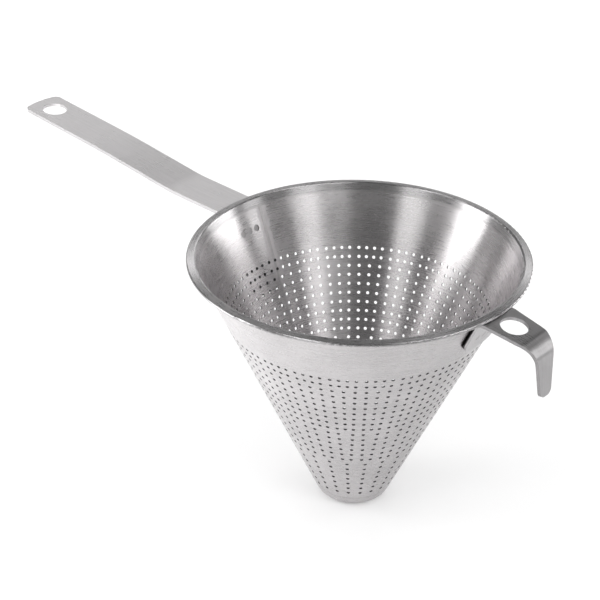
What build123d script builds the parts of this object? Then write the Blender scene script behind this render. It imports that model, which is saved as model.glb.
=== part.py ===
from build123d import *
import math
import os

os.makedirs("parts", exist_ok=True)

# A chinois: a conical strainer of stainless sheet with a strap handle and a rest hook.
# Millimetres. The origin is the middle of the flat foot, +Z runs up the cone's axis,
# the hook points along +X and the handle along -X.

# Cone: the wall's inner face runs straight from the mouth to the foot plane
mouth_radius = 94.0
foot_radius = 19.4
rim_height = 162.0
wall_sheet = 0.8

# Rim ring: a short skirt on the wall's line, a rounded lip, a sloping top and a folded hem
rim_radius = 100.0
rim_skirt = 3.0
rim_sheet = 0.8
rim_slope_degrees = 10.0
rim_lip_bend = 0.7
hem_gap = 0.3
hem_bend = 0.5
hem_return = 3.0

# Base cap: a shallow pressed dish
base_wall = 8.8
base_sheet = 0.8
base_bend = 8.6

# Welds fill the gap between two sheet edges; the seam's crown stands proud inside
seam_degrees = 171.9
seam_gap_degrees = 1.2
seam_crown = 0.15
ring_weld_gap = 1.2

# Perforation: every sector repeats one set of holes, in zones of rows down the wall
hole_diameter = 2.0
plain_band_top = 38.9
plain_band_foot = 15.9
sector_count = 24
sector_turn_degrees = 4.7
zone_rows = (2, 8, 6, 7)
zone_holes = (4, 3, 2, 1)
zone_first_step_degrees = (3.6, 5.05, 8.7, 0)
zone_last_step_degrees = (3.5, 4.65, 6.7, 0)

# Straps: handle and hook are bent from the same flat stock, and their flat tabs touch the wall along a line
strap_sheet = 2.0
strap_drop = 1.0
root_bend = 4.0

# Handle
handle_width = 27.6
handle_tab = 56.0
handle_tab_corner = 8.0
handle_root_reach = 142.0
handle_middle_reach = 203.0
handle_reach = 279.2
handle_root_rise_degrees = 1.4
handle_first_rise_degrees = 6.8
handle_second_rise_degrees = 4.9
handle_first_bend = 100.0
handle_second_bend = 900.0
handle_end_arc = 46.0
handle_end_corner = 4.0
hanging_hole_diameter = 16.0
hanging_hole_from_end = 15.0

# Rest hook: it stands a little off the handle's line, as in the photo
hook_degrees = 0.8
hook_width = 26.6
hook_tab = 27.2
hook_tab_corner = 9.0
hook_dip_degrees = 9.1
hook_dip_bend = 10.0
hook_shoulder_reach = 130.1
hook_bend = 11.5
hook_leg = 30.7
hook_leg_degrees = 85.1
hook_shoulder_width = 23.0
hook_leg_width = 14.2
hook_tip_width = 9.6
hook_tip_corner = 3.8
hook_outline_round = 20.0
hook_hole_diameter = 16.0
hook_hole_from_rim = 9.8

# Spot welds: nuggets through the wall and the strap's tab, each face a shallow dimple
spot_count = 3
spot_diameter = 4.0
spot_pitch = 5.8
spot_dimple = 0.15
spot_below_rim = 16.0

# Cutting tools reach this far past what they cut; a bare sheet corner's edge is shorter than this share
overrun = 5.0
corner_edge_share = 1.5

# What follows from the sizes above
wall_degrees = math.degrees(math.atan2(mouth_radius - foot_radius, rim_height))
wall_sine = math.sin(math.radians(wall_degrees))
wall_cosine = math.cos(math.radians(wall_degrees))
wall_length = rim_height / wall_cosine
cone_top = rim_skirt + ring_weld_gap
cone_end = wall_length - base_wall - ring_weld_gap
strap_level = rim_height - strap_drop - strap_sheet / 2
axis_line = Axis.Z


def slope(degrees):
    """Rise over run of a line at this angle."""
    return math.tan(math.radians(degrees))


def wall_point(below_rim, out):
    """(x, z) of a point so far down the wall from the rim plane and so far out of its inner face."""
    x = mouth_radius - below_rim * wall_sine + out * wall_cosine
    z = rim_height - below_rim * wall_cosine - out * wall_sine
    return (x, z)


def wall_x(z, out):
    """x at height z of the line that lies so far out of the wall's inner face."""
    return mouth_radius + out / wall_cosine - (rim_height - z) * wall_sine / wall_cosine


def wall_place(degrees, below_rim, out):
    """Location on the wall at this azimuth, its own z axis along the wall's outward normal."""
    x, z = wall_point(below_rim, out)
    return Rot(0, 0, degrees) * Pos(x, 0, z) * Rot(0, 90 + wall_degrees, 0)


def upright_face(points):
    """Face in the XZ plane from its corner points."""
    return make_face(Polyline([(x, 0, z) for x, z in points], close=True))


def unit(start, end):
    length = math.hypot(end[0] - start[0], end[1] - start[1])
    return ((end[0] - start[0]) / length, (end[1] - start[1]) / length)


def sheet_profile(points, bends, thickness):
    """Face in the XZ plane of a bent sheet: its middle line joins the points with these bend radii."""
    half = thickness / 2
    sides = {1: [], -1: []}
    rounds = {1: [], -1: []}
    runs = [unit(a, b) for a, b in zip(points, points[1:])]
    for index, (x, z) in enumerate(points):
        before = runs[max(index - 1, 0)]
        after = runs[min(index, len(runs) - 1)]
        facing = 1 + before[0] * after[0] + before[1] * after[1]
        turn = before[0] * after[1] - before[1] * after[0]
        for side in (1, -1):
            shift_x = -side * half * (before[1] + after[1]) / facing
            shift_z = side * half * (before[0] + after[0]) / facing
            sides[side].append((x + shift_x, 0, z + shift_z))
            if 0 < index < len(points) - 1:
                inner = turn * side > 0
                rounds[side].append(bends[index - 1] - half if inner else bends[index - 1] + half)
    outline = sides[1] + sides[-1][::-1]
    radii = [0] + rounds[1] + [0, 0] + rounds[-1][::-1] + [0]
    return make_face(FilletPolyline(*outline, radius=radii, close=True))


def wall_section(top, end, inner, outer):
    """Face in the XZ plane of the wall between two places down it and two distances out of it."""
    corners = [(top, inner), (end, inner), (end, outer), (top, outer)]
    return upright_face([wall_point(*corner) for corner in corners])


def hole_tools(first_degrees, last_degrees):
    """Drills for the perforation between two azimuths, square to the wall."""
    row_pitch = (wall_length - plain_band_top - plain_band_foot) / (sum(zone_rows) - 1)
    drill = Cylinder(hole_diameter / 2, wall_sheet + 2 * overrun)
    tools = []
    row = 0
    zones = zip(zone_rows, zone_holes, zone_first_step_degrees, zone_last_step_degrees)
    for rows, holes, first_step, last_step in zones:
        for step_row in range(rows):
            step = first_step + (last_step - first_step) * step_row / (rows - 1)
            below_rim = plain_band_top + row * row_pitch
            for sector in range(sector_count):
                middle = sector_turn_degrees + sector * 360 / sector_count
                for hole in range(holes):
                    degrees = middle + (hole - (holes - 1) / 2) * step
                    if first_degrees <= degrees <= last_degrees:
                        tools.append(wall_place(degrees, below_rim, wall_sheet / 2) * drill)
            row += 1
    return tools


def spot_places(centre_degrees):
    """Places of the spot welds of one strap, in a row across it and square to its tab."""
    middle = wall_place(centre_degrees, spot_below_rim, 0)
    return [middle * Pos(0, (spot - (spot_count - 1) / 2) * spot_pitch, 0) for spot in range(spot_count)]


def spot_drills(centre_degrees):
    drill = Cylinder(spot_diameter / 2, 2 * (wall_sheet + strap_sheet) + overrun)
    return [place * drill for place in spot_places(centre_degrees)]


def spot_welds(centre_degrees):
    """Nuggets that join the wall to a strap's tab."""
    both = wall_sheet + strap_sheet
    nugget = Pos(0, 0, both / 2) * Cylinder(spot_diameter / 2, both - 2 * spot_dimple)
    return [place * nugget for place in spot_places(centre_degrees)]


def strainer_cone():
    """The rolled and perforated wall, open along its seam."""
    start = Rot(0, 0, seam_degrees + seam_gap_degrees / 2)
    section = start * wall_section(cone_top, cone_end, 0, wall_sheet)
    wall = revolve(section, axis_line, 360 - seam_gap_degrees)
    return wall - (hole_tools(0, 360) + spot_drills(hook_degrees) + spot_drills(180))


def cone_seam_weld():
    """The lengthwise weld: flush outside, a low crown inside, punched with the wall."""
    start = Rot(0, 0, seam_degrees - seam_gap_degrees / 2)
    section = start * wall_section(cone_top, cone_end, -seam_crown, wall_sheet)
    weld = revolve(section, axis_line, seam_gap_degrees)
    reach = 360 / sector_count
    return weld - hole_tools(seam_degrees - reach, seam_degrees + reach)


def rim_ring():
    """Skirt, rounded lip, sloping top and hem, from one strip."""
    fall = slope(rim_slope_degrees)
    edge_x = rim_radius - rim_sheet / 2
    hem_half = (rim_sheet + hem_gap) / 2
    middle = rim_sheet / 2
    lean = wall_sine / wall_cosine
    start = wall_point(0, middle)
    level_x = wall_x(rim_height, middle)
    lip_rise = (hem_half + (edge_x - level_x) * fall) / (1 + lean * fall)
    lip = (level_x + lip_rise * lean, rim_height + lip_rise)
    back_x = edge_x - hem_return
    points = [
        wall_point(rim_skirt, middle),
        lip,
        (edge_x, rim_height + hem_half),
        (edge_x, rim_height - hem_half),
        (back_x, rim_height - hem_half + hem_return * fall),
    ]
    return revolve(sheet_profile(points, [rim_lip_bend, hem_bend, hem_bend], rim_sheet), axis_line, 360)


def rim_weld():
    return revolve(wall_section(rim_skirt, cone_top, 0, wall_sheet), axis_line, 360)


def base_cap():
    """Flat foot, rounded corner and a short wall up to the cone."""
    middle = base_sheet / 2
    points = [(0, middle), (wall_x(middle, middle), middle), wall_point(wall_length - base_wall, middle)]
    return revolve(sheet_profile(points, [base_bend], base_sheet), axis_line, 360)


def base_weld():
    return revolve(wall_section(cone_end, cone_end + ring_weld_gap, 0, wall_sheet), axis_line, 360)


def corner_edges(strap, direction):
    """The short edges through the sheet at a strap's bare corners, sorted along this direction."""
    longest = corner_edge_share * strap_sheet
    return strap.edges().filter_by(lambda edge: edge.length < longest).sort_by(direction)


def bent_strap(width, tab, tab_corner, points, bends):
    """Flat strap along +X: a tab on the wall's line, the root bend, and the run through these points."""
    lie = wall_sheet + strap_sheet / 2
    root = [wall_point(tab, lie), (wall_x(strap_level, lie), strap_level), (rim_radius, strap_level)]
    profile = sheet_profile(root + points, [root_bend] + bends, strap_sheet)
    strap = extrude(profile, amount=width / 2, both=True)
    return fillet(corner_edges(strap, Axis.X)[:2], tab_corner)


def handle():
    """Tab, three runs that rise outwards, and the curved end with its hanging hole."""
    root_z = strap_level + (handle_root_reach - rim_radius) * slope(handle_root_rise_degrees)
    first_z = root_z + (handle_middle_reach - handle_root_reach) * slope(handle_first_rise_degrees)
    last_z = first_z + (handle_reach - handle_middle_reach) * slope(handle_second_rise_degrees)
    points = [(handle_root_reach, root_z), (handle_middle_reach, first_z), (handle_reach, last_z)]
    bends = [handle_first_bend, handle_first_bend, handle_second_bend]
    strap = bent_strap(handle_width, handle_tab, handle_tab_corner, points, bends)

    # The end is cut on an arc, and its two corners are rounded
    arc_x = handle_reach - handle_end_arc
    tall = 3 * rim_height
    inner_part = Pos(arc_x / 2, 0, 0) * Box(arc_x, handle_reach, tall)
    end_part = Pos(arc_x, 0, 0) * Cylinder(handle_end_arc, tall)
    strap = strap & (inner_part + end_part)
    strap = fillet(corner_edges(strap, Axis.X)[-2:], handle_end_corner)
    hole_x = handle_reach - hanging_hole_from_end
    hole_z = last_z - hanging_hole_from_end * slope(handle_second_rise_degrees)
    drill = Cylinder(hanging_hole_diameter / 2, strap_sheet + 2 * overrun)
    strap = strap - Pos(hole_x, 0, hole_z) * Rot(0, -handle_second_rise_degrees, 0) * drill
    print("hanging hole centre", -hole_x, hole_z)
    return Rot(0, 0, 180) * strap - spot_drills(180)


def rest_hook():
    """Tab, dipping arm with its hole, and the leg bent down, narrowed along an even outline."""
    dip_z = strap_level - (hook_shoulder_reach - rim_radius) * slope(hook_dip_degrees)
    leg_turn = math.radians(hook_leg_degrees)
    leg_end = (hook_shoulder_reach + hook_leg * math.cos(leg_turn), dip_z - hook_leg * math.sin(leg_turn))
    points = [(hook_shoulder_reach, dip_z), leg_end]
    strap = bent_strap(hook_width, hook_tab, hook_tab_corner, points, [hook_dip_bend, hook_bend])

    # The outline is cut along a slant that shows both the arm and the leg
    tangent = hook_bend * math.tan(math.radians(hook_leg_degrees - hook_dip_degrees) / 2)
    dip = math.radians(hook_dip_degrees)
    bend_start = (hook_shoulder_reach - tangent * math.cos(dip), dip_z + tangent * math.sin(dip))
    bend_end = (hook_shoulder_reach + tangent * math.cos(leg_turn), dip_z - tangent * math.sin(leg_turn))
    places = [(0, strap_level), (rim_radius, strap_level), bend_start, bend_end, leg_end]
    widths = [hook_width, hook_width, hook_shoulder_width, hook_leg_width, hook_tip_width]
    along = [(x - z + strap_level) / math.sqrt(2) for x, z in places]
    far = along[-1] + overrun
    edge = list(zip(along, widths)) + [(far, hook_tip_width)]
    outline = [(u, width / 2) for u, width in edge] + [(u, -width / 2) for u, width in edge[::-1]]
    rounds = [0, 0, hook_outline_round, hook_outline_round, 0, 0]
    slant = Plane(origin=(0, 0, strap_level), x_dir=(1, 0, -1), z_dir=(1, 0, 1))
    blank = slant * make_face(FilletPolyline(*outline, radius=rounds + rounds[::-1], close=True))
    strap = strap & extrude(blank, amount=hook_shoulder_reach, both=True)

    strap = fillet(corner_edges(strap, Axis.Z)[:2], hook_tip_corner)
    hole_x = rim_radius + hook_hole_from_rim * math.cos(dip)
    hole_z = strap_level - hook_hole_from_rim * math.sin(dip)
    drill = Cylinder(hook_hole_diameter / 2, strap_sheet + 2 * overrun)
    strap = strap - Pos(hole_x, 0, hole_z) * Rot(0, hook_dip_degrees, 0) * drill
    print("hook hole centre, before its turn", hole_x, hole_z)
    return Rot(0, 0, hook_degrees) * strap - spot_drills(hook_degrees)


nodes = {
    "strainer_cone": strainer_cone(),
    "cone_seam_weld": cone_seam_weld(),
    "rim_ring": rim_ring(),
    "rim_weld": rim_weld(),
    "base_cap": base_cap(),
    "base_weld": base_weld(),
    "handle": handle(),
    "handle_spot_welds": Compound(children=spot_welds(180)),
    "rest_hook": rest_hook(),
    "hook_spot_welds": Compound(children=spot_welds(hook_degrees)),
}
for name, piece in nodes.items():
    export_step(piece, f"parts/{name}.step", write_pcurves=False)
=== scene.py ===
"""A chinois strainer dressed for a studio picture.

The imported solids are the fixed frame. The perforated wall is built again with
Geometry Nodes, every other piece keeps its solid, and all of them get brushed steel.
Metres. The foot stands at the origin, the rest hook points along +X and the handle along -X.
"""

import math

import bpy
import numpy as np
from mathutils import Matrix, Vector


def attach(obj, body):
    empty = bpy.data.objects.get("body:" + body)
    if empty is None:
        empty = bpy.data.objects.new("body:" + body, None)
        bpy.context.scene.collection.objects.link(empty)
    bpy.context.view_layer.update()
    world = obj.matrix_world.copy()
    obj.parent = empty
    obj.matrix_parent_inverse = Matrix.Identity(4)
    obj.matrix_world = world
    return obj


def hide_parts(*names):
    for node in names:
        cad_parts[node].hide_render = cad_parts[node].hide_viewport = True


bl_info = {
    "name": "Chinois Strainer",
    "version": (1, 0, 0),
    "blender": (4, 5, 0),
    "location": "3D View > Sidebar > Strainer",
    "description": "Builds a conical kitchen strainer with its handle, rest hook and studio",
    "category": "Add Mesh",
}

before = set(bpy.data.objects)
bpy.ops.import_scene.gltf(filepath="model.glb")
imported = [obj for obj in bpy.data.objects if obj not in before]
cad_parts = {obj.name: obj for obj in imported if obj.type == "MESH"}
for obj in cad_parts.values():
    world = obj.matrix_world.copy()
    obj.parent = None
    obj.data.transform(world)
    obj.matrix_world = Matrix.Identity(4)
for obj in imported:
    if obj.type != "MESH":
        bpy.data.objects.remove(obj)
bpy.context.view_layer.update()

# Brushing: where a line's noise counts as 0 and as 1, its octaves, its grain, clouds per metre,
# the radius at which a turned line has its full length, and the smallest radius worked with.
LINE_LIMITS = (0.33, 0.67)
NOISE_OCTAVES = 4.0
LINE_GRAIN = 0.7
CLOUD_GRAIN = 0.55
WALL_CLOUDS = 38.0
STRAP_CLOUDS = 45.0
LINE_RADIUS = 0.1
AXIS_RADIUS = 0.0001

# Ground strip at the seam: ragged spots per metre, their octaves, and where its edge fades,
# as shares of its half width.
SEAM_SPOTS = 160.0
SEAM_OCTAVES = 2.0
SEAM_EDGE = (0.75, 1.15)

# Steel: how much each mask changes the shade and the roughness. Hole walls, strap side faces and tab gaps
# get painted shade, tab faces painted light.
PLAIN_SHADE = 0.74
STREAK_SHADE = 0.12
CLOUD_SHADE = 0.4
SEAM_SHADE = 0.25
HOLE_PAINTED_SHADE = -0.85
SIDE_PAINTED_SHADE = -0.25
TAB_PAINTED_LIGHT = 0.4
GAP_PAINTED_SHADE = -0.92
STREAK_ROUGHNESS = 0.05
CLOUD_ROUGHNESS = 0.1
SEAM_ROUGHNESS = 0.12
PUNCHED_ROUGHNESS = 0.3
GROUND_ROUGHNESS = 0.06

# Steel: a strap's face counts as its side, which gets painted shade, from this share of the sideways normal
# on, then the lines' relief and height, and how far the brushing draws a highlight out.
SIDEWAYS = 0.9
LINE_RELIEF = 0.5
RIM_RELIEF = 0.15
LINE_HEIGHT = 0.000006
TURNED_DRAW = 0.9
STRAIGHT_DRAW = 0.75
QUARTER_TURN = 0.25
EDGE_SAMPLES = 4

# Sockets of a Mix node set to colours: its two colours and its result.
COLOUR_A = 6
COLOUR_B = 7
COLOUR_RESULT = 2

# Perforated wall: a drill's length in sheets, the spot welds of one strap, and how close
# two points are one.
DRILL_SHEETS = 4.0
SPOTS = 3
MERGE_DISTANCE = 0.00001

# Agreement with the cone's own normal from which a face is the wall's, and below which a hole's.
WALL_FACE = 0.98
HOLE_FACE = 0.9
LEAST_RADIUS = 1e-6

# Softboxes: name, bearing with the camera at 270 degrees, elevation, distance, width, height, level.
SOFTBOXES = (
    ("key_left", 177.0, 21.0, 1.2, 0.5, 0.75, "key_level"),
    ("key_right", 25.0, 13.0, 1.2, 0.6, 0.4, "key_level"),
    ("front_left", 223.0, 38.0, 1.2, 0.4, 0.3, "key_level"),
    ("front_right", 314.0, 36.0, 1.2, 0.4, 0.3, "key_level"),
    ("front_top", 292.0, 50.0, 1.2, 0.35, 0.3, "key_level"),
    ("overhead_right", 5.0, 65.0, 1.1, 0.4, 0.35, "overhead_level"),
    ("overhead_left", 182.0, 62.0, 1.1, 0.4, 0.35, "overhead_level"),
    ("strip_behind", 90.0, 29.0, 1.5, 1.4, 0.2, "strip_level"),
    ("side_right", 352.0, 12.0, 1.3, 0.35, 0.3, "overhead_level"),
    ("fill_left", 230.0, 19.0, 1.3, 0.4, 0.25, "fill_level"),
    ("fill_right", 303.0, 20.0, 1.3, 0.45, 0.2, "fill_level"),
)

# Studio: watts per square metre of a softbox at level 1, the floor's half width, the heights
# between which the white horizon fades, and the distances over which the floor's light changes.
SOFTBOX_WATTS = 4
FLOOR_REACH = 4.0
HORIZON_FADE = (0.05, 0.2)
GLOW_FADE = (-0.35, 0.1)
LIFT_FADE = (0.45, 1.1)
SENSOR_WIDTH = 36.0
NEAREST = 0.01
FARTHEST = 50.0


class WallSizes(bpy.types.PropertyGroup):
    """The perforated wall and its drills. Slant lengths run down the wall from the rim plane."""

    mouth_radius: bpy.props.FloatProperty(
        name="Mouth Radius",
        description="Radius of the wall's inner face at the rim plane",
        default=0.094,
        unit="LENGTH",
        precision=4,
    )
    foot_radius: bpy.props.FloatProperty(
        name="Foot Radius",
        description="Radius of the wall's inner face where its line meets the foot plane",
        default=0.0194,
        unit="LENGTH",
        precision=4,
    )
    rim_height: bpy.props.FloatProperty(
        name="Rim Height",
        description="Height of the rim plane above the foot",
        default=0.162,
        unit="LENGTH",
        precision=4,
    )
    sheet: bpy.props.FloatProperty(
        name="Sheet",
        description="Thickness of the wall",
        default=0.0008,
        unit="LENGTH",
        precision=4,
    )
    top_edge: bpy.props.FloatProperty(
        name="Top Edge",
        description="Slant length from the rim plane to the wall's upper edge",
        default=0.0042,
        unit="LENGTH",
        precision=4,
    )
    foot_edge: bpy.props.FloatProperty(
        name="Foot Edge",
        description="Slant length left between the wall's lower edge and the foot plane",
        default=0.01,
        unit="LENGTH",
        precision=4,
    )
    seam_azimuth: bpy.props.FloatProperty(
        name="Seam Azimuth",
        description="Where the rolled sheet's two edges face each other",
        default=math.radians(171.9),
        unit="ROTATION",
    )
    seam_gap: bpy.props.FloatProperty(
        name="Seam Gap",
        description="Angle between the two edges, which the weld fills",
        default=math.radians(1.2),
        unit="ROTATION",
    )
    facets_round: bpy.props.IntProperty(
        name="Facets Round",
        description="Faces round the wall before it is perforated",
        default=216,
    )
    facets_down: bpy.props.IntProperty(
        name="Facets Down",
        description="Faces down the wall before it is perforated",
        default=24,
    )
    hole_diameter: bpy.props.FloatProperty(
        name="Hole Diameter",
        description="Diameter of a sieve hole",
        default=0.002,
        unit="LENGTH",
        precision=4,
    )
    hole_sides: bpy.props.IntProperty(
        name="Hole Sides", description="Sides of a sieve hole", default=20
    )
    plain_top: bpy.props.FloatProperty(
        name="Plain Top",
        description="Slant length from the rim plane to the first row of holes",
        default=0.0389,
        unit="LENGTH",
        precision=4,
    )
    plain_foot: bpy.props.FloatProperty(
        name="Plain Foot",
        description="Slant length from the last row of holes to the foot plane",
        default=0.0159,
        unit="LENGTH",
        precision=4,
    )
    sectors: bpy.props.IntProperty(
        name="Sectors", description="Repeats of the hole pattern round the wall", default=24
    )
    sector_turn: bpy.props.FloatProperty(
        name="Sector Turn",
        description="Azimuth of the first sector's middle",
        default=math.radians(4.7),
        unit="ROTATION",
    )
    zone_rows: bpy.props.IntVectorProperty(
        name="Zone Rows", description="Rows in each zone, from the top", size=4, default=(2, 8, 6, 7)
    )
    zone_holes: bpy.props.IntVectorProperty(
        name="Zone Holes", description="Holes of one sector in each zone", size=4, default=(4, 3, 2, 1)
    )
    zone_first_step: bpy.props.FloatVectorProperty(
        name="First Step",
        description="Angle between a sector's holes in each zone's first row",
        size=4,
        unit="ROTATION",
        default=[math.radians(step) for step in (3.6, 5.05, 8.7, 0)],
    )
    zone_last_step: bpy.props.FloatVectorProperty(
        name="Last Step",
        description="Angle between a sector's holes in each zone's last row",
        size=4,
        unit="ROTATION",
        default=[math.radians(step) for step in (3.5, 4.65, 6.7, 0)],
    )
    spot_diameter: bpy.props.FloatProperty(
        name="Spot Diameter",
        description="Diameter of a spot weld",
        default=0.004,
        unit="LENGTH",
        precision=4,
    )
    spot_pitch: bpy.props.FloatProperty(
        name="Spot Pitch",
        description="Distance between the spot welds of one strap",
        default=0.0058,
        unit="LENGTH",
        precision=4,
    )
    spot_below_rim: bpy.props.FloatProperty(
        name="Spots Below Rim",
        description="Slant length from the rim plane to the spot welds",
        default=0.016,
        unit="LENGTH",
        precision=4,
    )
    hook_turn: bpy.props.FloatProperty(
        name="Hook Turn",
        description="Azimuth of the rest hook, which stands a little off the handle's line",
        default=math.radians(0.8),
        unit="ROTATION",
    )


class Finishes(bpy.types.PropertyGroup):
    """Colours and brushing of the steel."""

    wall_colour: bpy.props.FloatVectorProperty(
        name="Wall",
        description="Colour of the rolled sheet",
        subtype="COLOR",
        size=3,
        default=(0.61, 0.592, 0.598),
    )
    # The rim's steel is set darker than the wall's: painted shade.
    rim_shaded_colour: bpy.props.FloatVectorProperty(
        name="Rim",
        description="Colour of the rim",
        subtype="COLOR",
        size=3,
        default=(0.47, 0.46, 0.465),
    )
    handle_colour: bpy.props.FloatVectorProperty(
        name="Handle",
        description="Colour of the handle",
        subtype="COLOR",
        size=3,
        default=(0.65, 0.635, 0.64),
    )
    # The rest hook's steel is set much darker than the handle's: painted shade.
    hook_shaded_colour: bpy.props.FloatVectorProperty(
        name="Rest Hook",
        description="Colour of the rest hook",
        subtype="COLOR",
        size=3,
        default=(0.42, 0.41, 0.415),
    )
    weld_colour: bpy.props.FloatVectorProperty(
        name="Welds",
        description="Colour of ground welds",
        subtype="COLOR",
        size=3,
        default=(0.56, 0.545, 0.55),
    )
    wall_roughness: bpy.props.FloatProperty(
        name="Wall Roughness",
        description="Mean roughness of the wall",
        default=0.28,
        subtype="FACTOR",
        min=0,
        max=1,
    )
    strap_roughness: bpy.props.FloatProperty(
        name="Strap Roughness",
        description="Mean roughness of the straps",
        default=0.30,
        subtype="FACTOR",
        min=0,
        max=1,
    )
    line_width: bpy.props.FloatProperty(
        name="Brush Line",
        description="Width of one brushed line",
        default=0.0009,
        unit="LENGTH",
        precision=5,
    )
    wall_line: bpy.props.FloatProperty(
        name="Wall Line",
        description="Length of a brushed line on wall and rim",
        default=0.016,
        unit="LENGTH",
    )
    strap_line: bpy.props.FloatProperty(
        name="Strap Line",
        description="Length of a brushed line on the straps",
        default=0.03,
        unit="LENGTH",
    )
    arris: bpy.props.FloatProperty(
        name="Arris",
        description="Radius to which the edges of the straps and the rim look rounded",
        default=0.0003,
        unit="LENGTH",
        precision=5,
    )
    # Gap Depth and Tab Depth: how far out of the wall a tab's painted shade in its gap and painted light on
    # its face reach.
    gap_depth: bpy.props.FloatProperty(
        name="Gap Depth",
        description="How far out of the wall a tab's edge lies in the shade of the gap",
        default=0.0009,
        unit="LENGTH",
        precision=5,
    )
    tab_depth: bpy.props.FloatProperty(
        name="Tab Depth",
        description="How far out of the wall a tab's lighter face reaches",
        default=0.0023,
        unit="LENGTH",
        precision=5,
    )


class Studio(bpy.types.PropertyGroup):
    """Camera, floor and lamps. The view's azimuth turns round the rim's centre."""

    view_azimuth: bpy.props.FloatProperty(
        name="View Azimuth",
        description="Camera's turn about the vertical",
        default=math.radians(41.9),
        unit="ROTATION",
    )
    view_elevation: bpy.props.FloatProperty(
        name="View Elevation",
        description="Camera's angle above the horizon",
        default=math.radians(29.8),
        unit="ROTATION",
    )
    view_roll: bpy.props.FloatProperty(
        name="View Roll",
        description="Camera's turn about its own axis",
        default=math.radians(0.64),
        unit="ROTATION",
    )
    view_distance: bpy.props.FloatProperty(
        name="View Distance",
        description="From the camera to the rim's centre",
        default=1.0498,
        unit="LENGTH",
    )
    view_aside: bpy.props.FloatProperty(
        name="View Aside", description="Camera's shift to its right", default=-0.0342, unit="LENGTH"
    )
    view_above: bpy.props.FloatProperty(
        name="View Above", description="Camera's shift upwards", default=-0.0249, unit="LENGTH"
    )
    lens: bpy.props.FloatProperty(
        name="Lens", description="Focal length on a 36 mm sensor, in millimetres", default=109.14
    )
    floor_colour: bpy.props.FloatVectorProperty(
        name="Floor",
        description="Colour of the floor",
        subtype="COLOR",
        size=3,
        default=(0.82, 0.82, 0.82),
    )
    floor_lift: bpy.props.FloatProperty(
        name="Floor Lift", description="Light that the floor adds for the camera", default=0.19
    )
    far_lift: bpy.props.FloatProperty(
        name="Far Lift",
        description="Light that the floor adds for the camera far from the object",
        default=0.6,
    )
    floor_glow: bpy.props.FloatProperty(
        name="Floor Glow",
        description="Light that the floor adds in reflections, on the key lamp's side",
        default=0.62,
    )
    room_level: bpy.props.FloatProperty(
        name="Room Level", description="Brightness of the room above the pale horizon", default=0.17
    )
    ambient_level: bpy.props.FloatProperty(
        name="Ambient Level", description="Even light on matt surfaces", default=0.66
    )
    key_level: bpy.props.FloatProperty(
        name="Key Level",
        description="Brightness of the large softboxes on the left, on the right and in front",
        default=3.25,
    )
    overhead_level: bpy.props.FloatProperty(
        name="Overhead Level",
        description="Brightness of the overhead softboxes and the one on the right",
        default=1.9,
    )
    strip_level: bpy.props.FloatProperty(
        name="Strip Level",
        description="Brightness of the long softbox behind",
        default=1.5,
    )
    fill_level: bpy.props.FloatProperty(
        name="Fill Level",
        description="Brightness of the two low softboxes beside the camera",
        default=0.6,
    )


class Tree:
    """Adds nodes to a node tree and links or sets their inputs."""

    def __init__(self, tree):
        self.tree = tree

    def add(self, kind, inputs=None, **settings):
        node = self.tree.nodes.new(kind)
        for name, value in settings.items():
            setattr(node, name, value)
        for name, value in (inputs or {}).items():
            self.put(node.inputs[name], value)
        return node

    def put(self, socket, value):
        if isinstance(value, bpy.types.NodeSocket):
            self.tree.links.new(value, socket)
        else:
            socket.default_value = value

    def maths(self, operation, *values):
        node = self.tree.nodes.new("ShaderNodeMath")
        node.operation = operation
        for socket, value in zip(node.inputs, values):
            self.put(socket, value)
        return node.outputs[0]

    def vector(self, x, y, z):
        return self.add("ShaderNodeCombineXYZ", {"X": x, "Y": y, "Z": z}).outputs[0]

    def blend(self, low, high, amount):
        """low where amount is 0 and high where it is 1."""
        return self.maths("MULTIPLY_ADD", amount, self.maths("SUBTRACT", high, low), low)

    def ramp(self, value, start, end, low, high):
        """Goes smoothly from low to high while the value goes from start to end."""
        limits = {"Value": value, "From Min": start, "From Max": end, "To Min": low, "To Max": high}
        return self.add("ShaderNodeMapRange", limits, interpolation_type="SMOOTHSTEP").outputs[0]

    def scaled(self, value, mask, share):
        """The value where the mask is 0, and 1 + share times as much where it is 1."""
        return self.maths("MULTIPLY", value, self.maths("MULTIPLY_ADD", mask, share, 1.0))


def new_group(name, kind, inputs, outputs):
    """A node group with its interface: inputs are (name, socket type, default), outputs (name, type)."""
    group = bpy.data.node_groups.new(name, kind)
    for label, socket_type, default in inputs:
        socket = group.interface.new_socket(name=label, in_out="INPUT", socket_type=socket_type)
        if default is not None:
            socket.default_value = default
    for label, socket_type in outputs:
        group.interface.new_socket(name=label, in_out="OUTPUT", socket_type=socket_type)
    tree = Tree(group)
    return tree, tree.add("NodeGroupInput").outputs, tree.add("NodeGroupOutput")


def even_lines(tree, raw):
    """Spreads a noise over the whole range from 0 to 1, so that its lines come out alike."""
    return tree.ramp(raw, *LINE_LIMITS, 0.0, 1.0)


def noise(tree, place, scale, grain):
    """A noise of this scale. grain is how much its finer octaves count."""
    look = {"Vector": place, "Scale": scale, "Detail": NOISE_OCTAVES, "Roughness": grain}
    return tree.add("ShaderNodeTexNoise", look).outputs[0]


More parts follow.
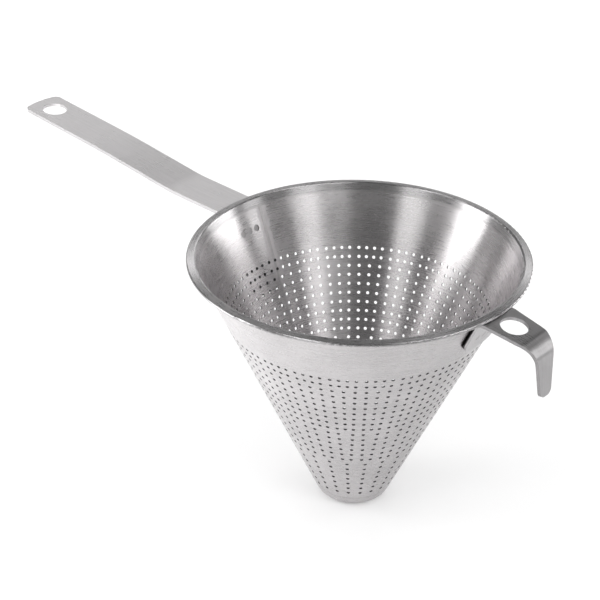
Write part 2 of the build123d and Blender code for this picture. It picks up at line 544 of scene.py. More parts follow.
def turned_brushing():
    """Lines that run round the upright axis, and a soft cloud for handling marks."""
    tree, given, result = new_group(
        "Turned Brushing",
        "ShaderNodeTree",
        [("Line Width", "NodeSocketFloat", 0.0004), ("Line Length", "NodeSocketFloat", 0.05)],
        [("Lines", "NodeSocketFloat"), ("Cloud", "NodeSocketFloat")],
    )
    place = tree.add("ShaderNodeTexCoord").outputs["Object"]
    part = tree.add("ShaderNodeSeparateXYZ", {"Vector": place}).outputs
    square = tree.maths("MULTIPLY", part["X"], part["X"])
    radius = tree.maths("SQRT", tree.maths("MULTIPLY_ADD", part["Y"], part["Y"], square))
    radius = tree.maths("MAXIMUM", radius, AXIS_RADIUS)
    across = tree.maths("DIVIDE", tree.maths("ADD", radius, part["Z"]), given["Line Width"])
    turn = tree.maths("DIVIDE", LINE_RADIUS, given["Line Length"])
    east = tree.maths("MULTIPLY", tree.maths("DIVIDE", part["X"], radius), turn)
    north = tree.maths("MULTIPLY", tree.maths("DIVIDE", part["Y"], radius), turn)
    lines = noise(tree, tree.vector(east, north, across), 1.0, LINE_GRAIN)
    tree.put(result.inputs["Lines"], even_lines(tree, lines))
    tree.put(result.inputs["Cloud"], noise(tree, place, WALL_CLOUDS, CLOUD_GRAIN))
    return tree.tree


def straight_brushing():
    """Lines that run along a strap that lies in the XZ plane, and a soft cloud."""
    tree, given, result = new_group(
        "Straight Brushing",
        "ShaderNodeTree",
        [("Line Width", "NodeSocketFloat", 0.0004), ("Line Length", "NodeSocketFloat", 0.04)],
        [("Lines", "NodeSocketFloat"), ("Cloud", "NodeSocketFloat")],
    )
    place = tree.add("ShaderNodeTexCoord").outputs["Object"]
    part = tree.add("ShaderNodeSeparateXYZ", {"Vector": place}).outputs
    along = tree.maths("DIVIDE", tree.maths("SUBTRACT", part["X"], part["Z"]), given["Line Length"])
    across = tree.maths("DIVIDE", part["Y"], given["Line Width"])
    lines = noise(tree, tree.vector(along, across, 0.0), 1.0, LINE_GRAIN)
    tree.put(result.inputs["Lines"], even_lines(tree, lines))
    tree.put(result.inputs["Cloud"], noise(tree, place, STRAP_CLOUDS, CLOUD_GRAIN))
    return tree.tree


def tab_shade():
    """Masks of a strap's tab: what lies in its narrow gap to the wall, for painted shade, and its whole run
    down the wall, for painted light.
    """
    tree, given, result = new_group(
        "Tab Shade",
        "ShaderNodeTree",
        [
            ("Mouth Radius", "NodeSocketFloat", 0.094),
            ("Rim Height", "NodeSocketFloat", 0.162),
            ("Half Angle", "NodeSocketFloat", 0.43),
            ("Gap Depth", "NodeSocketFloat", 0.0017),
            ("Tab Depth", "NodeSocketFloat", 0.0031),
        ],
        [("Gap", "NodeSocketFloat"), ("Tab", "NodeSocketFloat")],
    )
    place = tree.add("ShaderNodeTexCoord").outputs["Object"]
    part = tree.add("ShaderNodeSeparateXYZ", {"Vector": place}).outputs
    fall = tree.maths("SUBTRACT", given["Rim Height"], part["Z"])
    inward = tree.maths("MULTIPLY", fall, tree.maths("TANGENT", given["Half Angle"]))
    wall_x = tree.maths("SUBTRACT", given["Mouth Radius"], inward)
    past = tree.maths("SUBTRACT", tree.maths("ABSOLUTE", part["X"]), wall_x)
    out = tree.maths("MULTIPLY", past, tree.maths("COSINE", given["Half Angle"]))
    tree.put(result.inputs["Gap"], tree.maths("LESS_THAN", out, given["Gap Depth"]))
    tree.put(result.inputs["Tab"], tree.maths("LESS_THAN", out, given["Tab Depth"]))
    return tree.tree


def seam_tint():
    """Mask of the ground strip along the seam weld: ragged to one side, fading out down the wall."""
    tree, given, result = new_group(
        "Seam Tint",
        "ShaderNodeTree",
        [
            ("Azimuth", "NodeSocketFloat", 3.0),
            ("Half Width", "NodeSocketFloat", 0.0035),
            ("Low End", "NodeSocketFloat", 0.11),
            ("Full From", "NodeSocketFloat", 0.135),
        ],
        [("Mask", "NodeSocketFloat")],
    )
    place = tree.add("ShaderNodeTexCoord").outputs["Object"]
    part = tree.add("ShaderNodeSeparateXYZ", {"Vector": place}).outputs
    sine = tree.maths("SINE", given["Azimuth"])
    cosine = tree.maths("COSINE", given["Azimuth"])
    north = tree.maths("MULTIPLY", part["Y"], cosine)
    aside = tree.maths("SUBTRACT", north, tree.maths("MULTIPLY", part["X"], sine))
    ahead = tree.maths("MULTIPLY_ADD", part["X"], cosine, tree.maths("MULTIPLY", part["Y"], sine))
    spots = {"Vector": place, "Scale": SEAM_SPOTS, "Detail": SEAM_OCTAVES}
    ragged = tree.add("ShaderNodeTexNoise", spots).outputs[0]
    spread = tree.maths("MULTIPLY", given["Half Width"], tree.maths("ADD", ragged, 0.5))
    share = tree.maths("DIVIDE", tree.maths("ABSOLUTE", aside), spread)
    inside = tree.ramp(share, *SEAM_EDGE, 1.0, 0.0)
    faded = tree.ramp(part["Z"], given["Low End"], given["Full From"], 0.0, 1.0)
    side = tree.maths("GREATER_THAN", ahead, 0.0)
    mask = tree.maths("MULTIPLY", tree.maths("MULTIPLY", inside, faded), side)
    tree.put(result.inputs["Mask"], mask)
    return tree.tree


def steel(
    name,
    colour,
    roughness,
    brushing,
    line_width,
    line_length,
    edge,
    turned,
    relief=LINE_RELIEF,
    seam=None,
    tab=None,
):
    """Brushed stainless steel. edge is the radius to which the sheet's edges look rounded, seam the
    azimuth of the wall's seam, and tab holds the sizes that place painted shade in a strap's gap and painted
    light on its tab. With a seam the hole walls get painted shade; with a tab the strap's side faces do.
    """
    material = bpy.data.materials.new(name)
    material.use_nodes = True
    material.node_tree.nodes.clear()
    tree = Tree(material.node_tree)
    output = tree.add("ShaderNodeOutputMaterial")
    lines = tree.add("ShaderNodeGroup", node_tree=bpy.data.node_groups[brushing])
    lines.inputs["Line Width"].default_value = line_width
    lines.inputs["Line Length"].default_value = line_length
    streak, cloud = lines.outputs["Lines"], lines.outputs["Cloud"]
    shade = tree.maths("MULTIPLY_ADD", cloud, CLOUD_SHADE, PLAIN_SHADE)
    shade = tree.maths("MULTIPLY_ADD", streak, STREAK_SHADE, shade)
    plain = roughness - (STREAK_ROUGHNESS + CLOUD_ROUGHNESS) / 2
    rough = tree.maths("MULTIPLY_ADD", streak, STREAK_ROUGHNESS, plain)
    rough = tree.maths("MULTIPLY_ADD", cloud, CLOUD_ROUGHNESS, rough)
    if seam is not None:
        tint = tree.add("ShaderNodeGroup", node_tree=bpy.data.node_groups["Seam Tint"])
        tint.inputs["Azimuth"].default_value = seam
        shade = tree.maths("MULTIPLY_ADD", tint.outputs["Mask"], SEAM_SHADE, shade)
        rough = tree.maths("MULTIPLY_ADD", tint.outputs["Mask"], SEAM_ROUGHNESS, rough)
        # Hole walls: painted shade darkens them almost to black, and they are rougher.
        mark = tree.add("ShaderNodeAttribute", attribute_name="punched", attribute_type="GEOMETRY")
        punched = mark.outputs["Fac"]
        shade = tree.scaled(shade, punched, HOLE_PAINTED_SHADE)
        rough = tree.maths("MULTIPLY_ADD", punched, PUNCHED_ROUGHNESS, rough)
    if tab is not None:
        gap = tree.add("ShaderNodeGroup", node_tree=bpy.data.node_groups["Tab Shade"])
        for label, value in tab.items():
            gap.inputs[label].default_value = value
        # Side faces of the straps: painted shade.
        facing = tree.add("ShaderNodeNewGeometry").outputs["True Normal"]
        sideways = tree.add("ShaderNodeSeparateXYZ", {"Vector": facing}).outputs["Y"]
        sideways = tree.maths("GREATER_THAN", tree.maths("ABSOLUTE", sideways), SIDEWAYS)
        shade = tree.scaled(shade, sideways, SIDE_PAINTED_SHADE)
        # Tab faces: painted light.
        shade = tree.scaled(shade, gap.outputs["Tab"], TAB_PAINTED_LIGHT)
        # Tab edges in the gap to the wall: painted shade.
        shade = tree.scaled(shade, gap.outputs["Gap"], GAP_PAINTED_SHADE)
    tinted = tree.add("ShaderNodeMix", data_type="RGBA", blend_type="MULTIPLY")
    tinted.inputs[0].default_value = 1.0
    tinted.inputs[COLOUR_A].default_value = (*colour, 1.0)
    tree.put(tinted.inputs[COLOUR_B], tree.vector(shade, shade, shade))
    rounded = tree.add("ShaderNodeBevel", {"Radius": edge}, samples=EDGE_SAMPLES) if edge else None
    bump = tree.add("ShaderNodeBump", {"Strength": relief, "Distance": LINE_HEIGHT, "Height": streak})
    if rounded:
        tree.put(bump.inputs["Normal"], rounded.outputs[0])
    place = tree.add("ShaderNodeTexCoord").outputs["Object"]
    if turned:
        round_axis = tree.add("ShaderNodeVectorMath", operation="CROSS_PRODUCT")
        round_axis.inputs[0].default_value = (0, 0, 1)
        tree.put(round_axis.inputs[1], place)
        along = {0: round_axis.outputs[0]}
        tangent = tree.add("ShaderNodeVectorMath", along, operation="NORMALIZE").outputs[0]
    else:
        tangent = tree.vector(0.0, 1.0, 0.0)
    shader = tree.add(
        "ShaderNodeBsdfPrincipled",
        {
            "Base Color": tinted.outputs[COLOUR_RESULT],
            "Metallic": 1.0,
            "Roughness": rough,
            "Anisotropic": TURNED_DRAW if turned else STRAIGHT_DRAW,
            "Anisotropic Rotation": QUARTER_TURN if turned else 0.0,
            "Normal": bump.outputs[0],
            "Tangent": tangent,
        },
    )
    tree.put(output.inputs["Surface"], shader.outputs[0])
    return material


def drill_zone():
    """Places drills in rows on the wall: every sector of a row repeats the same few holes."""
    tree, given, result = new_group(
        "Drill Zone",
        "GeometryNodeTree",
        [
            ("Drill", "NodeSocketGeometry", None),
            ("Rows", "NodeSocketInt", 1),
            ("Holes", "NodeSocketInt", 1),
            ("Sectors", "NodeSocketInt", 24),
            ("Turn", "NodeSocketFloat", 0.0),
            ("First Step", "NodeSocketFloat", 0.0),
            ("Last Step", "NodeSocketFloat", 0.0),
            ("First Slant", "NodeSocketFloat", 0.0),
            ("Row Pitch", "NodeSocketFloat", 0.005),
            ("Mouth Radius", "NodeSocketFloat", 0.094),
            ("Rim Height", "NodeSocketFloat", 0.162),
            ("Half Angle", "NodeSocketFloat", 0.43),
            ("Sheet", "NodeSocketFloat", 0.0008),
        ],
        [("Drills", "NodeSocketGeometry")],
    )
    round_row = tree.maths("MULTIPLY", given["Sectors"], given["Holes"])
    count = tree.maths("MULTIPLY", given["Rows"], round_row)
    points = tree.add("GeometryNodePoints", {"Count": count}).outputs[0]
    index = tree.add("GeometryNodeInputIndex").outputs[0]
    row = tree.maths("FLOOR", tree.maths("DIVIDE", tree.maths("ADD", index, 0.5), round_row))
    rest = tree.maths("SUBTRACT", index, tree.maths("MULTIPLY", row, round_row))
    sector = tree.maths("FLOOR", tree.maths("DIVIDE", tree.maths("ADD", rest, 0.5), given["Holes"]))
    hole = tree.maths("SUBTRACT", rest, tree.maths("MULTIPLY", sector, given["Holes"]))
    share = tree.maths("DIVIDE", row, tree.maths("SUBTRACT", given["Rows"], 1.0))
    step = tree.blend(given["First Step"], given["Last Step"], share)
    middle = tree.maths("MULTIPLY", tree.maths("SUBTRACT", given["Holes"], 1.0), 0.5)
    aside = tree.maths("MULTIPLY", tree.maths("SUBTRACT", hole, middle), step)
    sector_angle = tree.maths("DIVIDE", 2 * math.pi, given["Sectors"])
    azimuth = tree.maths("ADD", tree.maths("MULTIPLY_ADD", sector, sector_angle, given["Turn"]), aside)
    slant = tree.maths("MULTIPLY_ADD", row, given["Row Pitch"], given["First Slant"])
    place = cone_place(tree, given, azimuth, slant, tree.maths("MULTIPLY", given["Sheet"], 0.5))
    set_points = tree.add("GeometryNodeSetPosition", {"Geometry": points, "Position": place}).outputs[0]
    lean = tree.maths("ADD", given["Half Angle"], math.pi / 2)
    turn = tree.add("FunctionNodeEulerToRotation", {"Euler": tree.vector(0.0, lean, azimuth)}).outputs[0]
    drills = tree.add(
        "GeometryNodeInstanceOnPoints", {"Points": set_points, "Instance": given["Drill"], "Rotation": turn}
    ).outputs[0]
    tree.put(result.inputs["Drills"], drills)
    return tree.tree


def cone_place(tree, given, azimuth, slant, out):
    """Position at this azimuth, this far down the wall and this far out of its inner face."""
    sine = tree.maths("SINE", given["Half Angle"])
    cosine = tree.maths("COSINE", given["Half Angle"])
    inward = tree.maths("SUBTRACT", tree.maths("MULTIPLY", slant, sine), tree.maths("MULTIPLY", out, cosine))
    fall = tree.maths("ADD", tree.maths("MULTIPLY", slant, cosine), tree.maths("MULTIPLY", out, sine))
    radius = tree.maths("SUBTRACT", given["Mouth Radius"], inward)
    return tree.vector(
        tree.maths("MULTIPLY", radius, tree.maths("COSINE", azimuth)),
        tree.maths("MULTIPLY", radius, tree.maths("SINE", azimuth)),
        tree.maths("SUBTRACT", given["Rim Height"], fall),
    )


def perforated_wall_tree(zone_tree, zone_count):
    """The rolled wall, open along its seam, with sieve holes and spot weld holes cut out of it."""
    inputs = [
        ("Mouth Radius", "NodeSocketFloat", 0.094),
        ("Rim Height", "NodeSocketFloat", 0.162),
        ("Half Angle", "NodeSocketFloat", 0.43),
        ("Sheet", "NodeSocketFloat", 0.0008),
        ("Top Edge", "NodeSocketFloat", 0.0042),
        ("Low Edge", "NodeSocketFloat", 0.168),
        ("Seam Start", "NodeSocketFloat", 3.0),
        ("Sheet Turn", "NodeSocketFloat", 6.2),
        ("Facets Round", "NodeSocketInt", 216),
        ("Facets Down", "NodeSocketInt", 24),
        ("Hole Diameter", "NodeSocketFloat", 0.002),
        ("Hole Sides", "NodeSocketInt", 20),
        ("Sectors", "NodeSocketInt", 24),
        ("Sector Turn", "NodeSocketFloat", 0.08),
        ("First Row", "NodeSocketFloat", 0.0389),
        ("Row Pitch", "NodeSocketFloat", 0.0056),
        ("Spot Diameter", "NodeSocketFloat", 0.004),
        ("Spot Step", "NodeSocketFloat", 0.06),
        ("Spot Row", "NodeSocketFloat", 0.016),
        ("Hook Turn", "NodeSocketFloat", 0.0),
        ("Steel", "NodeSocketMaterial", None),
    ]
    for zone in range(zone_count):
        inputs += [
            (f"Rows {zone + 1}", "NodeSocketInt", 1),
            (f"Holes {zone + 1}", "NodeSocketInt", 1),
            (f"First Step {zone + 1}", "NodeSocketFloat", 0.0),
            (f"Last Step {zone + 1}", "NodeSocketFloat", 0.0),
        ]
    outputs = [("Wall", "NodeSocketGeometry")]
    tree, given, result = new_group("Perforated Wall", "GeometryNodeTree", inputs, outputs)

    grid = tree.add(
        "GeometryNodeMeshGrid",
        {
            "Size X": 1.0,
            "Size Y": 1.0,
            "Vertices X": tree.maths("ADD", given["Facets Round"], 1.0),
            "Vertices Y": tree.maths("ADD", given["Facets Down"], 1.0),
        },
    ).outputs["Mesh"]
    flat_place = tree.add("GeometryNodeInputPosition").outputs[0]
    share = tree.add("ShaderNodeSeparateXYZ", {"Vector": flat_place}).outputs
    turned = tree.maths("ADD", share["X"], 0.5)
    azimuth = tree.maths("MULTIPLY_ADD", turned, given["Sheet Turn"], given["Seam Start"])
    slant = tree.blend(given["Top Edge"], given["Low Edge"], tree.maths("ADD", share["Y"], 0.5))
    inner_place = cone_place(tree, given, azimuth, slant, 0.0)
    inner = tree.add("GeometryNodeSetPosition", {"Geometry": grid, "Position": inner_place}).outputs[0]

    round_place = tree.add("GeometryNodeInputPosition").outputs[0]
    where = tree.add("ShaderNodeSeparateXYZ", {"Vector": round_place}).outputs
    bearing = tree.maths("ARCTAN2", where["Y"], where["X"])
    cosine = tree.maths("COSINE", given["Half Angle"])
    outward = tree.vector(
        tree.maths("MULTIPLY", tree.maths("COSINE", bearing), cosine),
        tree.maths("MULTIPLY", tree.maths("SINE", bearing), cosine),
        tree.maths("MULTIPLY", tree.maths("SINE", given["Half Angle"]), -1.0),
    )
    outer = tree.add(
        "GeometryNodeExtrudeMesh",
        {"Mesh": inner, "Offset": outward, "Offset Scale": given["Sheet"], "Individual": False},
        mode="FACES",
    ).outputs["Mesh"]
    outer = tree.add("GeometryNodeFlipFaces", {"Mesh": outer}).outputs[0]
    shell = tree.add("GeometryNodeJoinGeometry")
    tree.put(shell.inputs[0], outer)
    tree.put(shell.inputs[0], inner)
    close = {"Geometry": shell.outputs[0], "Distance": MERGE_DISTANCE}
    sheet = tree.add("GeometryNodeMergeByDistance", close).outputs[0]

    def drill(diameter):
        radius = tree.maths("MULTIPLY", diameter, 0.5)
        depth = tree.maths("MULTIPLY", given["Sheet"], DRILL_SHEETS)
        sizes = {"Vertices": given["Hole Sides"], "Radius": radius, "Depth": depth}
        return tree.add("GeometryNodeMeshCylinder", sizes).outputs["Mesh"]

    cone = {label: given[label] for label in ("Mouth Radius", "Rim Height", "Half Angle", "Sheet")}
    holes = tree.add("GeometryNodeJoinGeometry")
    sieve_drill = drill(given["Hole Diameter"])
    rows_above = None
    for zone in range(zone_count):
        rows = given[f"Rows {zone + 1}"]
        first = given["First Row"]
        if rows_above is not None:
            first = tree.maths("MULTIPLY_ADD", rows_above, given["Row Pitch"], first)
        placed = tree.add(
            "GeometryNodeGroup",
            {
                "Drill": sieve_drill,
                "Rows": rows,
                "Holes": given[f"Holes {zone + 1}"],
                "Sectors": given["Sectors"],
                "Turn": given["Sector Turn"],
                "First Step": given[f"First Step {zone + 1}"],
                "Last Step": given[f"Last Step {zone + 1}"],
                "First Slant": first,
                "Row Pitch": given["Row Pitch"],
                **cone,
            },
            node_tree=zone_tree,
        )
        tree.put(holes.inputs[0], placed.outputs[0])
        rows_above = rows if rows_above is None else tree.maths("ADD", rows_above, rows)
    spot_drill = drill(given["Spot Diameter"])
    for turn in (given["Hook Turn"], math.pi):
        spots = tree.add(
            "GeometryNodeGroup",
            {
                "Drill": spot_drill,
                "Rows": 1,
                "Holes": SPOTS,
                "Sectors": 1,
                "Turn": turn,
                "First Step": given["Spot Step"],
                "Last Step": given["Spot Step"],
                "First Slant": given["Spot Row"],
                **cone,
            },
            node_tree=zone_tree,
        )
        tree.put(holes.inputs[0], spots.outputs[0])
    drills = tree.add("GeometryNodeRealizeInstances", {"Geometry": holes.outputs[0]}).outputs[0]
    cut = tree.add("GeometryNodeMeshBoolean", operation="DIFFERENCE", solver="MANIFOLD")
    tree.put(cut.inputs["Mesh 1"], sheet)
    tree.put(cut.inputs["Mesh 2"], drills)
    whole = tree.add("GeometryNodeRealizeInstances", {"Geometry": cut.outputs[0]}).outputs[0]
    steel_wall = tree.add("GeometryNodeSetMaterial", {"Geometry": whole, "Material": given["Steel"]})
    tree.put(result.inputs["Wall"], steel_wall.outputs[0])
    return tree.tree


def run_tree(name, tree, values):
    """Runs a Geometry Nodes tree on an empty object and keeps its result as a plain mesh."""
    carrier = bpy.data.objects.new(name, bpy.data.meshes.new(name))
    bpy.context.scene.collection.objects.link(carrier)
    modifier = carrier.modifiers.new(name, "NODES")
    modifier.node_group = tree
    identifiers = {
        item.name: item.identifier
        for item in tree.interface.items_tree
        if item.item_type == "SOCKET" and item.in_out == "INPUT"
    }
    for label, value in values.items():
        modifier[identifiers[label]] = value
    evaluated = carrier.evaluated_get(bpy.context.evaluated_depsgraph_get())
    mesh = bpy.data.meshes.new_from_object(evaluated)
    carrier.modifiers.remove(modifier)
    blank = carrier.data
    carrier.data = mesh
    bpy.data.meshes.remove(blank)
    mesh.name = name
    made_of = mesh.materials[-1]
    mesh.materials.clear()
    mesh.materials.append(made_of)
    if not mesh.polygons:
        raise RuntimeError(f"{name}: the tree made no faces")
    return carrier


def even_cone_shading(mesh, half_angle):
    """Gives the wall's two faces the smooth cone's own normals; the hole walls stay flat and are marked for
    their painted shade and roughness.
    """
    count = len(mesh.loops)
    vertex_of = np.zeros(count, np.int32)
    mesh.loops.foreach_get("vertex_index", vertex_of)
    places = np.zeros(len(mesh.vertices) * 3)
    mesh.vertices.foreach_get("co", places)
    places = places.reshape(-1, 3)[vertex_of]
    starts = np.zeros(len(mesh.polygons), np.int32)
    totals = np.zeros(len(mesh.polygons), np.int32)
    flats = np.zeros(len(mesh.polygons) * 3)
    mesh.polygons.foreach_get("loop_start", starts)
    mesh.polygons.foreach_get("loop_total", totals)
    mesh.polygons.foreach_get("normal", flats)
    flats = np.repeat(flats.reshape(-1, 3), totals, axis=0)
    radius = np.maximum(np.hypot(places[:, 0], places[:, 1]), LEAST_RADIUS)
    cosine, sine = math.cos(half_angle), math.sin(half_angle)
    east, north = places[:, 0] / radius * cosine, places[:, 1] / radius * cosine
    cone = np.stack([east, north, np.full(count, -sine)], 1)
    facing = (cone * flats).sum(1)
    normals = np.where(np.abs(facing)[:, None] > WALL_FACE, cone * np.sign(facing)[:, None], flats)
    punched = np.abs(facing[starts]) < HOLE_FACE
    mesh.attributes.new("punched", "FLOAT", "FACE").data.foreach_set("value", punched.astype(np.float32))
    mesh.polygons.foreach_set("use_smooth", np.ones(len(mesh.polygons), bool))
    mesh.normals_split_custom_set(normals.tolist())


def dress(node, material):
    """Gives a solid of the frame its finish."""
    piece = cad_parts[node]
    piece.data.materials.clear()
    piece.data.materials.append(material)


class STRAINER_OT_perforated_wall(bpy.types.Operator):
    """Build the perforated wall on the cone's sizes and let it stand for the plain solid"""

    bl_idname = "strainer.perforated_wall"
    bl_label = "Perforated Wall"

    def execute(self, context):
        sizes = context.scene.strainer_wall
        look = context.scene.strainer_finishes
        half_angle = math.atan2(sizes.mouth_radius - sizes.foot_radius, sizes.rim_height)
        slant = sizes.rim_height / math.cos(half_angle)
        lines = ("Turned Brushing", look.line_width, look.wall_line)
        finish = ("wall_steel", look.wall_colour, look.wall_roughness, *lines, 0.0, True)
        sheet = steel(*finish, seam=sizes.seam_azimuth)
        spot_radius = sizes.mouth_radius - sizes.spot_below_rim * math.sin(half_angle)
        last_row = sum(sizes.zone_rows) - 1
        values = {
            "Mouth Radius": sizes.mouth_radius,
            "Rim Height": sizes.rim_height,
            "Half Angle": half_angle,
            "Sheet": sizes.sheet,
            "Top Edge": sizes.top_edge,
            "Low Edge": slant - sizes.foot_edge,
            "Seam Start": sizes.seam_azimuth + sizes.seam_gap / 2,
            "Sheet Turn": 2 * math.pi - sizes.seam_gap,
            "Facets Round": sizes.facets_round,
            "Facets Down": sizes.facets_down,
            "Hole Diameter": sizes.hole_diameter,
            "Hole Sides": sizes.hole_sides,
            "Sectors": sizes.sectors,
            "Sector Turn": sizes.sector_turn,
            "First Row": sizes.plain_top,
            "Row Pitch": (slant - sizes.plain_top - sizes.plain_foot) / last_row,
            "Spot Diameter": sizes.spot_diameter,
            "Spot Step": sizes.spot_pitch / spot_radius,
            "Spot Row": sizes.spot_below_rim,
            "Hook Turn": sizes.hook_turn,
            "Steel": sheet,
        }
        for zone, (rows, holes, first, last) in enumerate(
            zip(sizes.zone_rows, sizes.zone_holes, sizes.zone_first_step, sizes.zone_last_step), 1
        ):
            values[f"Rows {zone}"] = rows
            values[f"Holes {zone}"] = holes
            values[f"First Step {zone}"] = first
            values[f"Last Step {zone}"] = last
        tree = perforated_wall_tree(drill_zone(), len(sizes.zone_rows))
        wall = run_tree("perforated_wall", tree, values)
        even_cone_shading(wall.data, half_angle)
        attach(wall, "root")
        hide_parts("strainer_cone")
        return {"FINISHED"}


class STRAINER_OT_welds(bpy.types.Operator):
    """Finish the seam weld, the two ring welds and the spot welds"""

    bl_idname = "strainer.welds"
    bl_label = "Welds"

    def execute(self, context):
        look = context.scene.strainer_finishes
        lines = ("Turned Brushing", look.line_width, look.wall_line)
        roughness = look.wall_roughness + GROUND_ROUGHNESS
        ground = steel("ground_weld", look.weld_colour, roughness, *lines, 0.0, True)
        for node in ("cone_seam_weld", "rim_weld", "base_weld", "handle_spot_welds", "hook_spot_welds"):
            dress(node, ground)
        return {"FINISHED"}


class STRAINER_OT_rim_and_foot(bpy.types.Operator):
    """Finish the folded rim and the closed foot"""

    bl_idname = "strainer.rim_and_foot"
    bl_label = "Rim and Foot"

    def execute(self, context):
        look = context.scene.strainer_finishes
        lines = ("Turned Brushing", look.line_width, look.wall_line)
        # The rim's darker colour is painted shade.
        finish = ("rim_steel", look.rim_shaded_colour, look.wall_roughness, *lines, look.arris, True)
        dress("rim_ring", steel(*finish, relief=RIM_RELIEF))
        dress("base_cap", steel("foot_steel", look.wall_colour, look.wall_roughness, *lines, 0.0, True))
        return {"FINISHED"}


class STRAINER_OT_straps(bpy.types.Operator):
    """Finish the handle and the rest hook, brushed lengthwise"""

    bl_idname = "strainer.straps"
    bl_label = "Handle and Rest Hook"

    def execute(self, context):
        look = context.scene.strainer_finishes
        sizes = context.scene.strainer_wall
        lines = ("Straight Brushing", look.line_width, look.strap_line)
        tab = {
            "Mouth Radius": sizes.mouth_radius,
            "Rim Height": sizes.rim_height,
            "Half Angle": math.atan2(sizes.mouth_radius - sizes.foot_radius, sizes.rim_height),
            "Gap Depth": sizes.sheet + look.gap_depth,
            "Tab Depth": sizes.sheet + look.tab_depth,
        }
        # The rest hook's darker colour is painted shade.
        for node, colour in (("handle", look.handle_colour), ("rest_hook", look.hook_shaded_colour)):
            finish = steel(f"{node}_steel", colour, look.strap_roughness, *lines, look.arris, False, tab=tab)
            dress(node, finish)
        return {"FINISHED"}


def softbox(name, aim, phi, elevation, distance, width, height, level):
    """A softbox that faces the aim point. phi is its bearing with the camera at 270 degrees."""
    studio = bpy.context.scene.strainer_studio
    bearing = math.radians(phi) + studio.view_azimuth
    rise = math.radians(elevation)
    back = Vector((math.cos(bearing) * math.cos(rise), math.sin(bearing) * math.cos(rise), math.sin(rise)))
    lamp = bpy.data.lights.new(name, "AREA")
    lamp.shape = "RECTANGLE"
    lamp.size = width
    lamp.size_y = height
    lamp.energy = level * SOFTBOX_WATTS * width * height
    box = bpy.data.objects.new(name, lamp)
    box.location = aim + back * distance
    box.rotation_euler = back.to_track_quat("Z", "Y").to_euler()
    box.visible_camera = False
    bpy.context.scene.collection.objects.link(box)


def room_light(studio):
    """World: white behind the object, a darker room above, and an even level on matt surfaces."""
    world = bpy.data.worlds.new("studio_room")
    bpy.context.scene.world = world
    world.use_nodes = True
    world.node_tree.nodes.clear()
    tree = Tree(world.node_tree)
    output = tree.add("ShaderNodeOutputWorld")
    sky = tree.add("ShaderNodeTexCoord").outputs["Generated"]
    height = tree.add("ShaderNodeSeparateXYZ", {"Vector": sky}).outputs["Z"]
    horizon = tree.ramp(height, *HORIZON_FADE, 1.0, studio.room_level)
    path = tree.add("ShaderNodeLightPath").outputs
    mirrored = tree.maths("MAXIMUM", path["Is Glossy Ray"], path["Is Transmission Ray"])
    level = tree.blend(studio.ambient_level, horizon, mirrored)
    level = tree.blend(level, 1.0, path["Is Camera Ray"])
    background = tree.add("ShaderNodeBackground", {"Color": (1, 1, 1, 1), "Strength": level})
    tree.put(output.inputs["Surface"], background.outputs[0])


def floor_material(studio):
    """Pale matt floor that looks white and still takes the object's shadow."""
    material = bpy.data.materials.new("studio_floor")
    material.use_nodes = True
    material.node_tree.nodes.clear()
    tree = Tree(material.node_tree)
    output = tree.add("ShaderNodeOutputMaterial")
    matt = tree.add("ShaderNodeBsdfDiffuse", {"Color": (*studio.floor_colour, 1.0)})
    path = tree.add("ShaderNodeLightPath").outputs
    mirrored = tree.maths("MAXIMUM", path["Is Glossy Ray"], path["Is Transmission Ray"])
    place = tree.add("ShaderNodeTexCoord").outputs["Object"]
    aside = tree.add("ShaderNodeVectorMath", {0: place}, operation="DOT_PRODUCT")
    aside.inputs[1].default_value = (math.cos(studio.view_azimuth), math.sin(studio.view_azimuth), 0.0)
    falling = tree.ramp(aside.outputs["Value"], *GLOW_FADE, studio.floor_glow, 0.0)
    away = tree.add("ShaderNodeVectorMath", {0: place}, operation="LENGTH").outputs["Value"]
    seen = tree.ramp(away, *LIFT_FADE, studio.floor_lift, studio.far_lift)
    lift = tree.maths("MULTIPLY", path["Is Camera Ray"], seen)
    strength = tree.maths("MULTIPLY_ADD", mirrored, falling, lift)
    glow = tree.add("ShaderNodeEmission", {"Color": (1, 1, 1, 1), "Strength": strength})
    both = tree.add("ShaderNodeAddShader")
    tree.put(both.inputs[0], matt.outputs[0])
    tree.put(both.inputs[1], glow.outputs[0])
    tree.put(output.inputs["Surface"], both.outputs[0])
    return material


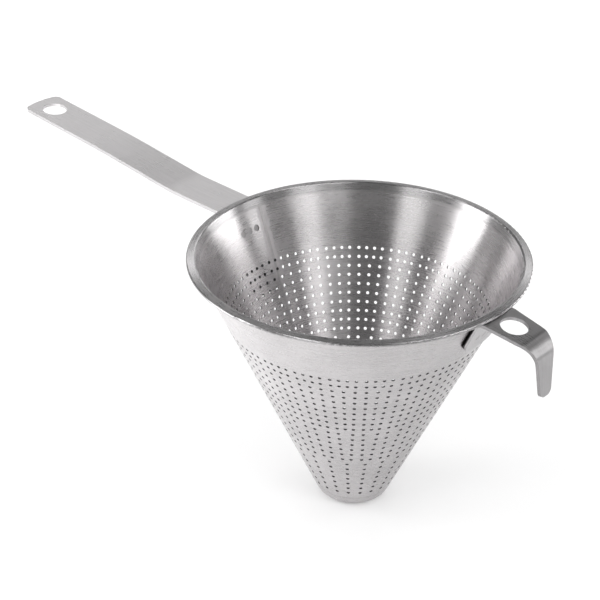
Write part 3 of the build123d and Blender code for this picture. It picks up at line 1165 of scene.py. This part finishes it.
class STRAINER_OT_studio(bpy.types.Operator):
    """Set up the floor, the softboxes and the camera"""

    bl_idname = "strainer.studio"
    bl_label = "Studio"

    def execute(self, context):
        studio = context.scene.strainer_studio
        aim = Vector((0.0, 0.0, context.scene.strainer_wall.rim_height))

        floor_mesh = bpy.data.meshes.new("studio_floor")
        signs = ((-1, -1), (1, -1), (1, 1), (-1, 1))
        corners = [(east * FLOOR_REACH, north * FLOOR_REACH, 0.0) for east, north in signs]
        floor_mesh.from_pydata(corners, [], [(0, 1, 2, 3)])
        floor_mesh.materials.append(floor_material(studio))
        floor = bpy.data.objects.new("studio_floor", floor_mesh)
        context.scene.collection.objects.link(floor)

        for name, phi, elevation, distance, width, height, level in SOFTBOXES:
            softbox(name, aim, phi, elevation, distance, width, height, getattr(studio, level))
        room_light(studio)

        turn, rise, roll = studio.view_azimuth, studio.view_elevation, studio.view_roll
        right = Vector((math.cos(turn), math.sin(turn), 0.0))
        above = Vector((-math.sin(turn) * math.sin(rise), math.cos(turn) * math.sin(rise), math.cos(rise)))
        back = Vector((math.sin(turn) * math.cos(rise), -math.cos(turn) * math.cos(rise), math.sin(rise)))
        across = math.cos(roll) * right + math.sin(roll) * above
        upward = math.cos(roll) * above - math.sin(roll) * right
        place = aim + studio.view_aside * across + studio.view_above * upward + studio.view_distance * back
        camera = bpy.data.objects.new("camera", bpy.data.cameras.new("camera"))
        camera.data.lens = studio.lens
        camera.data.sensor_width = SENSOR_WIDTH
        camera.data.clip_start = NEAREST
        camera.data.clip_end = FARTHEST
        turned = Matrix((across, upward, back)).transposed().to_4x4()
        camera.matrix_world = Matrix.Translation(place) @ turned
        context.scene.collection.objects.link(camera)
        context.scene.camera = camera
        context.scene.view_settings.view_transform = "Standard"
        return {"FINISHED"}


class STRAINER_PT_panel(bpy.types.Panel):
    """The strainer's sizes, finishes and studio"""

    bl_idname = "STRAINER_PT_panel"
    bl_label = "Chinois Strainer"
    bl_space_type = "VIEW_3D"
    bl_region_type = "UI"
    bl_category = "Strainer"

    def draw(self, context):
        scene = context.scene
        for title, settings in (
            ("Wall", scene.strainer_wall),
            ("Finishes", scene.strainer_finishes),
            ("Studio", scene.strainer_studio),
        ):
            column = self.layout.box().column()
            column.label(text=title)
            for name in settings.__annotations__:
                column.prop(settings, name)
        for operator in operators:
            self.layout.operator(operator.bl_idname)


operators = (
    STRAINER_OT_perforated_wall,
    STRAINER_OT_welds,
    STRAINER_OT_rim_and_foot,
    STRAINER_OT_straps,
    STRAINER_OT_studio,
)
classes = (WallSizes, Finishes, Studio, *operators, STRAINER_PT_panel)


def register():
    for made in classes:
        bpy.utils.register_class(made)
    bpy.types.Scene.strainer_wall = bpy.props.PointerProperty(type=WallSizes)
    bpy.types.Scene.strainer_finishes = bpy.props.PointerProperty(type=Finishes)
    bpy.types.Scene.strainer_studio = bpy.props.PointerProperty(type=Studio)


def unregister():
    del bpy.types.Scene.strainer_wall
    del bpy.types.Scene.strainer_finishes
    del bpy.types.Scene.strainer_studio
    for made in reversed(classes):
        bpy.utils.unregister_class(made)


def main():
    """Registers the panel, builds every piece and sets up the studio."""
    register()
    turned_brushing()
    straight_brushing()
    seam_tint()
    tab_shade()
    bpy.ops.strainer.perforated_wall()
    bpy.ops.strainer.welds()
    bpy.ops.strainer.rim_and_foot()
    bpy.ops.strainer.straps()
    bpy.ops.strainer.studio()


if __name__ == "__main__":
    main()
